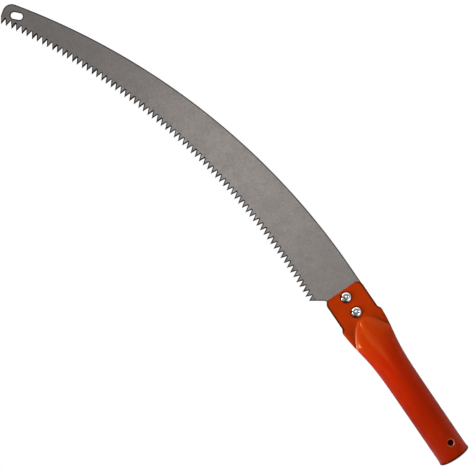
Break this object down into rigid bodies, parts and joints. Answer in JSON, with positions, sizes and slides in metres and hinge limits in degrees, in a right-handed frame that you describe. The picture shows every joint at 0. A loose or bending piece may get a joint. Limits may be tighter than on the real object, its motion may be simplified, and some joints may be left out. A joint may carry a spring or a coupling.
{
  "type": "curved pruning saw",
  "caption": "Curved pull-cut pruning saw: a toothed steel blade with a hanging slot, riveted between the flattened cheeks of an orange tube handle with an open pole socket.",
  "frame": {"origin": "centre of the socket mouth at the butt end of the handle", "axes": "+Z along the handle from the butt towards the blade, blade in the XZ plane, teeth towards -X, rolled rivet ends towards -Y"},
  "size_m": [0.1352, 0.0296, 0.5478],
  "materials": {
    "ground_steel": "ground bright, clear lacquered",
    "orange_enamel": "glossy baked enamel",
    "plated_steel": "bright plated"
  },
  "bodies": {
    "root": {"blade": "ground_steel", "handle": "orange_enamel", "front_rivet": "plated_steel", "rear_rivet": "plated_steel"}
  },
  "joints": []
}
